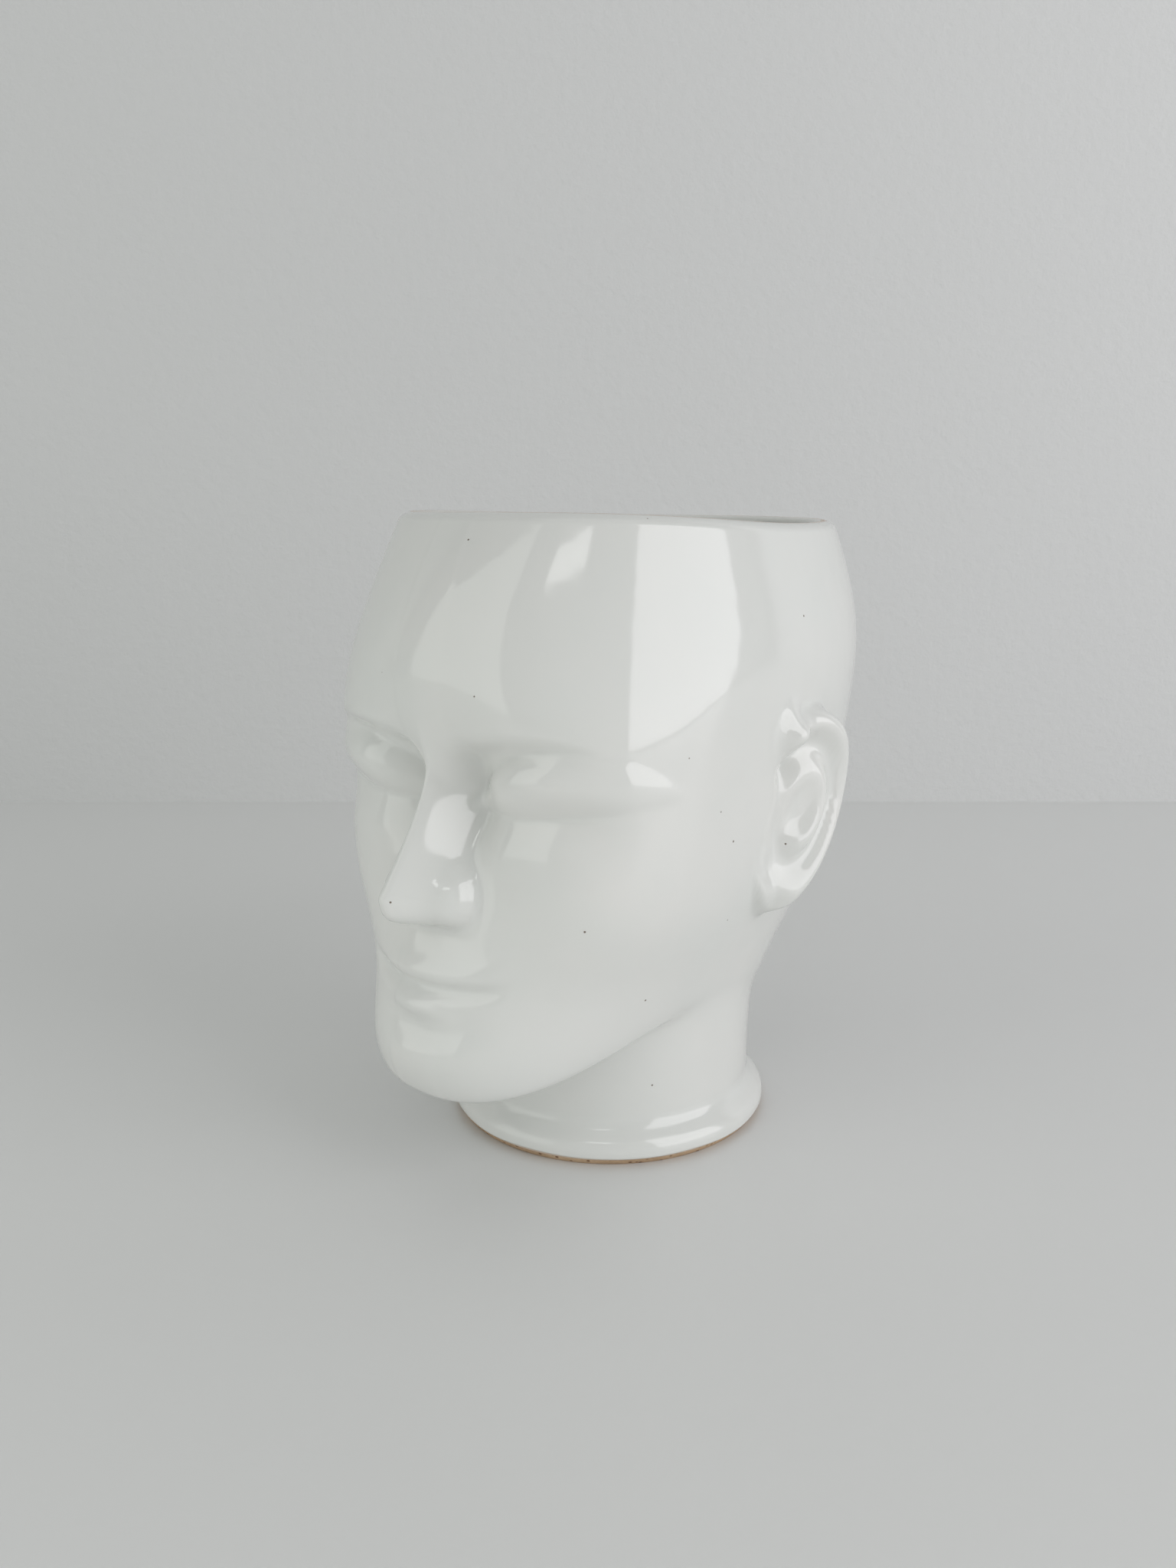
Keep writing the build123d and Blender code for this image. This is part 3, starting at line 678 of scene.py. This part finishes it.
# Glaze: where its tone turns, where it pools in hollows, and where it runs thin over tan clay
COAT_TONE = [(0.3, 0.0), (0.7, 1.0)]
COAT_POOL = [(0.02, 0.0), (0.3, 0.45)]
COAT_BARE = [(0.45, 0.0), (1.0, 0.85)]
BREAKUP_GAIN = 0.7
BREAKUP_OFFSET = -0.35
THIN_TAN = (0.56, 0.43, 0.33)
PINHOLE_DARK = (0.16, 0.12, 0.09)
PINHOLE_CELLS = 80.0
PINHOLE_DENT = -0.4
GLOSS_SPREAD = 0.05
BARE_DULLNESS = 0.3
GLAZE_IOR = 1.7

# Clay: tones of its grain, iron spots, roughness and depth of the grain
CLAY_TONES = [(0.3, (0.36, 0.24, 0.145)), (0.55, (0.47, 0.33, 0.21)), (0.75, (0.55, 0.41, 0.28))]
IRON_SPOT = (0.2, 0.115, 0.06)
IRON_CELLS = 420.0
IRON_SIZE = 0.3
GRAIN_SCALE = 1400.0
CLAY_ROUGHNESS = (0.72, 0.95)
GRAIN_DEPTH = 0.00025


def add_node(tree, kind, **values):
    """A node with its settings and the constant values of its sockets."""
    made = tree.nodes.new(kind)
    for key, value in values.items():
        if key in made.inputs:
            made.inputs[key].default_value = value
        else:
            setattr(made, key, value)
    return made


def join(tree, source, socket, target, into):
    """A link from one node's output to another's input."""
    tree.links.new(source.outputs[socket], target.inputs[into])


def ramp(tree, source, socket, stops):
    """Colour ramp fed from a value, with its stops as (place, grey or colour)."""
    made = tree.nodes.new("ShaderNodeValToRGB")
    while len(made.color_ramp.elements) < len(stops):
        made.color_ramp.elements.new(0.5)
    for element, (place, colour) in zip(made.color_ramp.elements, stops):
        element.position = place
        element.color = (*colour, 1.0) if isinstance(colour, tuple) else (colour, colour, colour, 1.0)
    tree.links.new(source.outputs[socket], made.inputs["Fac"])
    return made


def effect_group(name, inputs, outputs):
    """Empty node group with named float inputs and outputs."""
    group = bpy.data.node_groups.new(name, "ShaderNodeTree")
    group.interface.new_socket("Vector", in_out="INPUT", socket_type="NodeSocketVector")
    for label in inputs:
        group.interface.new_socket(label, in_out="INPUT", socket_type="NodeSocketFloat")
    for label in outputs:
        group.interface.new_socket(label, in_out="OUTPUT", socket_type="NodeSocketFloat")
    return group, group.nodes.new("NodeGroupInput"), group.nodes.new("NodeGroupOutput")


def pinhole_group():
    """Sparse pinholes that burst in the glaze: a mask, 1 in a hole."""
    group, given, result = effect_group("pinholes", ["Cells", "Size"], ["Mask"])
    cells = add_node(group, "ShaderNodeTexVoronoi", feature="F1", distance="EUCLIDEAN")
    join(group, given, "Vector", cells, "Vector")
    join(group, given, "Cells", cells, "Scale")
    inside = add_node(group, "ShaderNodeMath", operation="DIVIDE")
    join(group, cells, "Distance", inside, 0)
    join(group, given, "Size", inside, 1)
    mask = ramp(group, inside, 0, PINHOLE_EDGE)
    join(group, mask, "Color", result, "Mask")
    return group


def uneven_group():
    """Slow unevenness of a hand-poured coat, from 0 to 1."""
    group, given, result = effect_group("uneven_coat", ["Scale", "Fine"], ["Value"])
    slow = add_node(group, "ShaderNodeTexNoise", Detail=2.0, Roughness=0.45)
    join(group, given, "Vector", slow, "Vector")
    join(group, given, "Scale", slow, "Scale")
    ripple_scale = add_node(group, "ShaderNodeMath", operation="MULTIPLY")
    join(group, given, "Scale", ripple_scale, 0)
    join(group, given, "Fine", ripple_scale, 1)
    ripple = add_node(group, "ShaderNodeTexNoise", Detail=1.0, Roughness=0.4)
    join(group, given, "Vector", ripple, "Vector")
    join(group, ripple_scale, 0, ripple, "Scale")
    both = add_node(group, "ShaderNodeMix", data_type="FLOAT")
    both.inputs[0].default_value = RIPPLE_SHARE
    join(group, slow, "Fac", both, VALUE_SIDES[0])
    join(group, ripple, "Fac", both, VALUE_SIDES[1])
    join(group, both, 0, result, "Value")
    return group


PINHOLES = pinhole_group()
UNEVEN = uneven_group()


def place_group(tree, group, coords, **values):
    """A node group in a tree, on the object's own coordinates and with its constant values."""
    placed = tree.nodes.new("ShaderNodeGroup")
    placed.node_tree = group
    tree.links.new(coords.outputs["Object"], placed.inputs["Vector"])
    for key, value in values.items():
        placed.inputs[key].default_value = value
    return placed


def mix_colour(tree, mask, socket, first, second):
    """Colour mix by a mask; each side is a colour or a (node, socket) pair."""
    made = add_node(tree, "ShaderNodeMix", data_type="RGBA")
    tree.links.new(mask.outputs[socket], made.inputs[0])
    for index, side in zip(COLOUR_SIDES, (first, second)):
        if isinstance(side[0], bpy.types.Node):
            tree.links.new(side[0].outputs[side[1]], made.inputs[index])
        else:
            made.inputs[index].default_value = (*side, 1.0)
    return made


def start_material(name):
    """A material with its node tree, its shader and its coordinates."""
    material = bpy.data.materials.new(name)
    material.use_nodes = True
    tree = material.node_tree
    return material, tree, tree.nodes["Principled BSDF"], tree.nodes.new("ShaderNodeTexCoord")


def grain_bump(tree, shader, coords, scale, detail, fineness, strength, depth):
    """Noise on the object's own coordinates that dents the surface; gives back the noise."""
    grain = add_node(tree, "ShaderNodeTexNoise", Scale=scale, Detail=detail, Roughness=fineness)
    join(tree, coords, "Object", grain, "Vector")
    bump = add_node(tree, "ShaderNodeBump", Strength=strength, Distance=depth)
    join(tree, grain, "Fac", bump, "Height")
    join(tree, bump, "Normal", shader, "Normal")
    return grain


def glaze_material(name, white, pooled, dull, wave, holes):
    """White glaze: uneven coat, tan where it runs thin, a few pinholes, glossy and slightly wavy."""
    material, tree, shader, coords = start_material(name)
    uneven = place_group(tree, UNEVEN, coords, Scale=14.0, Fine=5.0)
    tone = ramp(tree, uneven, "Value", COAT_TONE)
    coat = mix_colour(tree, tone, "Color", white, pooled)
    hollow = add_node(tree, "ShaderNodeAttribute", attribute_name="hollow")
    pool = ramp(tree, hollow, "Fac", COAT_POOL)
    coat = mix_colour(tree, pool, "Color", (coat, COLOUR_RESULT), pooled)
    thin = add_node(tree, "ShaderNodeAttribute", attribute_name="thin_glaze")
    breakup = place_group(tree, UNEVEN, coords, Scale=90.0, Fine=4.0)
    broken = add_node(tree, "ShaderNodeMath", operation="MULTIPLY_ADD")
    join(tree, breakup, "Value", broken, 0)
    broken.inputs[1].default_value = BREAKUP_GAIN
    broken.inputs[2].default_value = BREAKUP_OFFSET
    edge = add_node(tree, "ShaderNodeMath", operation="ADD")
    join(tree, thin, "Fac", edge, 0)
    join(tree, broken, 0, edge, 1)
    bare = ramp(tree, edge, 0, COAT_BARE)
    coat = mix_colour(tree, bare, "Color", (coat, COLOUR_RESULT), THIN_TAN)
    pinholes = place_group(tree, PINHOLES, coords, Cells=PINHOLE_CELLS, Size=holes)
    coat = mix_colour(tree, pinholes, "Mask", (coat, COLOUR_RESULT), PINHOLE_DARK)
    join(tree, coat, COLOUR_RESULT, shader, "Base Color")
    gloss = add_node(tree, "ShaderNodeMapRange")
    join(tree, uneven, "Value", gloss, "Value")
    gloss.inputs["To Min"].default_value = dull
    gloss.inputs["To Max"].default_value = dull + GLOSS_SPREAD
    rough = add_node(tree, "ShaderNodeMath", operation="MULTIPLY_ADD")
    join(tree, bare, "Color", rough, 0)
    rough.inputs[1].default_value = BARE_DULLNESS
    join(tree, gloss, "Result", rough, 2)
    join(tree, rough, 0, shader, "Roughness")
    swell = place_group(tree, UNEVEN, coords, Scale=38.0, Fine=3.0)
    dents = add_node(tree, "ShaderNodeMath", operation="MULTIPLY_ADD")
    join(tree, pinholes, "Mask", dents, 0)
    dents.inputs[1].default_value = PINHOLE_DENT
    join(tree, swell, "Value", dents, 2)
    bump = add_node(tree, "ShaderNodeBump", Strength=1.0, Distance=wave)
    join(tree, dents, 0, bump, "Height")
    join(tree, bump, "Normal", shader, "Normal")
    shader.inputs["IOR"].default_value = GLAZE_IOR
    return material


def clay_material():
    """Fired tan earthenware: sandy grain, darker flecks and iron spots."""
    material, tree, shader, coords = start_material("bare_clay")
    uneven = place_group(tree, UNEVEN, coords, Scale=55.0, Fine=9.0)
    tone = ramp(tree, uneven, "Value", CLAY_TONES)
    specks = place_group(tree, PINHOLES, coords, Cells=IRON_CELLS, Size=IRON_SIZE)
    coat = mix_colour(tree, specks, "Mask", (tone, "Color"), IRON_SPOT)
    join(tree, coat, COLOUR_RESULT, shader, "Base Color")
    grain = grain_bump(
        tree, shader, coords, GRAIN_SCALE, detail=4.0, fineness=0.6, strength=0.7, depth=GRAIN_DEPTH
    )
    rough = add_node(tree, "ShaderNodeMapRange")
    join(tree, grain, "Fac", rough, "Value")
    rough.inputs["To Min"].default_value = CLAY_ROUGHNESS[0]
    rough.inputs["To Max"].default_value = CLAY_ROUGHNESS[1]
    join(tree, rough, "Result", shader, "Roughness")
    return material


def stage_material(name, colour, stipple, depth, roughness):
    """Plain pale surface with a faint stipple."""
    material, tree, shader, coords = start_material(name)
    shader.inputs["Base Color"].default_value = (*colour, 1.0)
    shader.inputs["Roughness"].default_value = roughness
    grain_bump(tree, shader, coords, stipple, detail=3.0, fineness=0.55, strength=0.5, depth=depth)
    return material


outside = outside_glaze()
inside = inside_glaze()
clay = clay_core()

white_glaze = glaze_material(
    "white_glaze",
    white=(0.735, 0.735, 0.715),
    pooled=(0.70, 0.715, 0.695),
    dull=0.06,
    wave=0.00028,
    holes=0.032,
)
inner_glaze = glaze_material(
    "inner_white_glaze",
    white=(0.71, 0.71, 0.685),
    pooled=(0.67, 0.68, 0.655),
    dull=0.14,
    wave=0.0003,
    holes=0.04,
)
bare_clay = clay_material()

for piece, material, node, slot in (
    (outside, white_glaze, "outer_glaze", "white_glaze"),
    (inside, inner_glaze, "inner_glaze", "inner_white_glaze"),
    (clay, bare_clay, "clay_body", "bare_clay"),
):
    piece.data.materials.clear()
    piece.data.materials.append(material)
    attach(piece, "root")
    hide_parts(node)

# Camera at the photograph's place: before the head's left side, level with the rim, looking down
CAMERA_TURN = math.radians(40.0)
CAMERA_PITCH = math.radians(12.3)
CAMERA_DISTANCE = 0.410
CAMERA_SHIFT = -0.0072
CAMERA_HEIGHT = 0.200
SENSOR_WIDTH = 36.0
LENS = 28.8
NEAREST_SEEN = 0.01
right = np.array([math.cos(CAMERA_TURN), math.sin(CAMERA_TURN), 0.0])
toward = np.array([math.sin(CAMERA_TURN), -math.cos(CAMERA_TURN), 0.0])
up = np.array([0.0, 0.0, 1.0])

deselect_all()
bpy.ops.object.camera_add(
    location=toward * CAMERA_DISTANCE + right * CAMERA_SHIFT + up * CAMERA_HEIGHT,
    rotation=(math.pi / 2.0 - CAMERA_PITCH, 0.0, CAMERA_TURN),
)
camera = bpy.context.active_object
camera.data.sensor_width = SENSOR_WIDTH
camera.data.lens = LENS
camera.data.clip_start = NEAREST_SEEN
bpy.context.scene.camera = camera

# Table and wall
STAGE_SIZE = 8.0
WALL_SETBACK = 0.45
WALL_MIDDLE = 2.0


def stage_plane(name, location, rotation, material):
    """Large plane of the stage with its material."""
    deselect_all()
    bpy.ops.mesh.primitive_plane_add(size=STAGE_SIZE, location=location, rotation=rotation)
    plane = bpy.context.active_object
    plane.name = name
    plane.data.materials.append(material)
    return plane


pale_table = stage_material(
    "pale_table", colour=(0.735, 0.74, 0.735), stipple=300.0, depth=0.0001, roughness=0.35
)
pale_wall = stage_material(
    "pale_wall", colour=(0.66, 0.665, 0.665), stipple=160.0, depth=0.0012, roughness=0.8
)
upright = (math.pi / 2.0, 0.0, CAMERA_TURN)
table_top = stage_plane("table_top", (0.0, 0.0, 0.0), (0.0, 0.0, 0.0), pale_table)
wall = stage_plane("wall", toward * -WALL_SETBACK + up * WALL_MIDDLE, upright, pale_wall)

# Upright panels: name, turn from the camera, distance, offset to the right, bottom, top, width,
# radiance, tint
PANELS = (
    ("right_panel", 25.0, 1.2, 1.08, 0.02, 1.52, 1.82, 1.9, (0.995, 0.98, 1.0)),
    ("left_panel", -22.0, 1.2, -1.5, 0.02, 1.8, 2.2, 0.74, (0.97, 1.0, 0.94)),
    ("top_panel", -9.0, 1.1, 0.0, 1.18, 1.40, 0.42, 2.2, (1.0, 1.0, 0.99)),
)
# Low fills that tilt up and stand for light off the near table: name, turn from the camera, width,
# radiance
LOW_FILLS = (("low_fill", 12.0, 0.8, 1.0), ("left_low_fill", -62.0, 0.5, 0.9))
FILL_DISTANCE = 0.34
FILL_BOTTOM = -0.04
FILL_TOP = 0.10
FILL_TILT = math.radians(35.0)
FILL_TINT = (1.0, 1.0, 0.97)
OVERHEAD_HEIGHT = 2.4
OVERHEAD_SIZE = 1.6
OVERHEAD_RADIANCE = 0.2
OVERHEAD_TINT = (1.0, 1.0, 1.0)
ROOM_COLOUR = (0.98, 1.0, 0.985, 1.0)
ROOM_STRENGTH = 0.38


def area_light(name, location, rotation, width, height, radiance, tint):
    """Soft rectangular light whose energy follows from its size and radiance."""
    deselect_all()
    bpy.ops.object.light_add(type="AREA", location=location, rotation=rotation)
    light = bpy.context.active_object
    light.name = name
    light.data.shape = "RECTANGLE"
    light.data.size = width
    light.data.size_y = height
    light.data.energy = radiance * math.pi * width * height
    light.data.color = tint
    return light


def panel(name, turn, distance, offset, low, high, width, radiance, tint):
    """Upright light panel that faces the vase from a turn round it, counted from the camera."""
    angle = math.radians(turn)
    out = toward * math.cos(angle) + right * math.sin(angle)
    across = right * math.cos(angle) - toward * math.sin(angle)
    spot = out * distance + across * offset + up * (low + high) / 2.0
    facing = (math.pi / 2.0, 0.0, CAMERA_TURN + angle)
    return area_light(name, spot, facing, width, high - low, radiance, tint)


for settings in PANELS:
    panel(*settings)
for name, turn, width, radiance in LOW_FILLS:
    fill = panel(name, turn, FILL_DISTANCE, 0.0, FILL_BOTTOM, FILL_TOP, width, radiance, FILL_TINT)
    fill.rotation_euler.x += FILL_TILT
    fill.visible_glossy = False
area_light(
    "overhead_panel",
    location=(0.0, 0.0, OVERHEAD_HEIGHT),
    rotation=(0.0, 0.0, CAMERA_TURN),
    width=OVERHEAD_SIZE,
    height=OVERHEAD_SIZE,
    radiance=OVERHEAD_RADIANCE,
    tint=OVERHEAD_TINT,
)

world = bpy.data.worlds.new("room")
world.use_nodes = True
background = world.node_tree.nodes["Background"]
background.inputs["Color"].default_value = ROOM_COLOUR
background.inputs["Strength"].default_value = ROOM_STRENGTH
bpy.context.scene.world = world
bpy.context.scene.view_settings.view_transform = "Standard"
